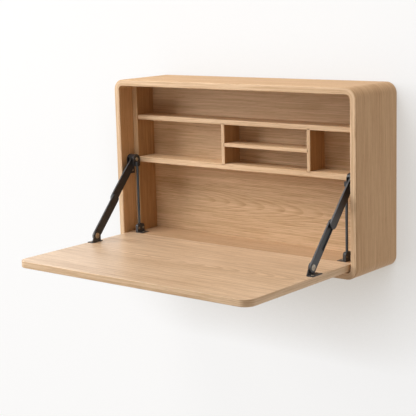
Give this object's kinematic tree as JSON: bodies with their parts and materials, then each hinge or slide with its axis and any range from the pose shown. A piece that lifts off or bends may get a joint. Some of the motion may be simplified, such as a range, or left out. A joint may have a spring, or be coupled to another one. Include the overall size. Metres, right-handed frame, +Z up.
{
  "type": "fold down wall desk",
  "caption": "Shallow wall cabinet in oak veneer with round corners, shelves inside and a drop leaf held level as a writing surface by folding black metal stays.",
  "frame": {"origin": "middle of the wall rail's row of screw holes, in the plane of the wall", "axes": "+X along the wall to the right as seen from the room, +Y into the wall, +Z up"},
  "size_m": [0.9, 0.69, 0.54],
  "materials": {
    "oak": "matt lacquered oak veneer",
    "rail_wood": "bare plywood",
    "black_steel": "black powder coat",
    "nickel": "dull nickel plate",
    "brass": "turned"
  },
  "bodies": {
    "cabinet": {"casing_top": "oak", "casing_bottom": "oak", "casing_left": "oak", "casing_right": "oak", "corner_top_left": "oak", "corner_top_right": "oak", "corner_bottom_left": "oak", "corner_bottom_right": "oak", "back_panel": "oak", "liner_left": "oak", "liner_right": "oak", "upper_shelf": "oak", "lower_shelf": "oak", "divider_left": "oak", "divider_right": "oak", "small_shelf": "oak", "inner_floor": "oak", "hanging_rail": "rail_wood", "wall_rail": "rail_wood", "hinge_bush_left": "brass", "top_bracket_left": "black_steel", "top_pin_left": "nickel", "top_bracket_screws_left": "nickel", "stay_rod_left": "black_steel", "rod_block_left": "black_steel", "rod_block_rivets_left": "nickel", "rod_block_screw_left": "nickel", "hinge_bush_right": "brass", "top_bracket_right": "black_steel", "top_pin_right": "nickel", "top_bracket_screws_right": "nickel", "stay_rod_right": "black_steel", "rod_block_right": "black_steel", "rod_block_rivets_right": "nickel", "rod_block_screw_right": "nickel"},
    "leaf": {"leaf": "oak", "hinge_pin_left": "nickel", "leaf_bracket_left": "black_steel", "leaf_rivet_left": "nickel", "leaf_bracket_screws_left": "nickel", "hinge_pin_right": "nickel", "leaf_bracket_right": "black_steel", "leaf_rivet_right": "nickel", "leaf_bracket_screws_right": "nickel"},
    "upper_link_left": {"upper_link_left": "black_steel", "slide_stud_left": "nickel"},
    "lower_link_left": {"lower_link_left": "black_steel"},
    "upper_link_right": {"upper_link_right": "black_steel", "slide_stud_right": "nickel"},
    "lower_link_right": {"lower_link_right": "black_steel"}
  },
  "joints": [
    {"name": "leaf_hinge", "type": "hinge", "parent": "cabinet", "child": "leaf", "pos_m": [0, -0.209, -0.4255], "axis": [-1, 0, 0], "range_deg": [0, 90]},
    {"name": "upper_pivot_left", "type": "hinge", "parent": "cabinet", "child": "upper_link_left", "pos_m": [-0.4135, -0.1795, -0.178], "axis": [1, 0, 0], "range_deg": [0, 42.5]},
    {"name": "lower_pivot_left", "type": "hinge", "parent": "leaf", "child": "lower_link_left", "pos_m": [-0.4072, -0.374, -0.395], "axis": [-1, 0, 0], "range_deg": [0, 48.13]},
    {"name": "upper_pivot_right", "type": "hinge", "parent": "cabinet", "child": "upper_link_right", "pos_m": [0.4135, -0.1795, -0.178], "axis": [1, 0, 0], "range_deg": [0, 42.5]},
    {"name": "lower_pivot_right", "type": "hinge", "parent": "leaf", "child": "lower_link_right", "pos_m": [0.4072, -0.374, -0.395], "axis": [-1, 0, 0], "range_deg": [0, 48.13]}
  ],
  "couplings": [
    {"joint": "upper_pivot_left", "follows": "leaf_hinge", "ratio": 0.47222},
    {"joint": "lower_pivot_left", "follows": "leaf_hinge", "ratio": 0.53477},
    {"joint": "upper_pivot_right", "follows": "leaf_hinge", "ratio": 0.47222},
    {"joint": "lower_pivot_right", "follows": "leaf_hinge", "ratio": 0.53477}
  ]
}
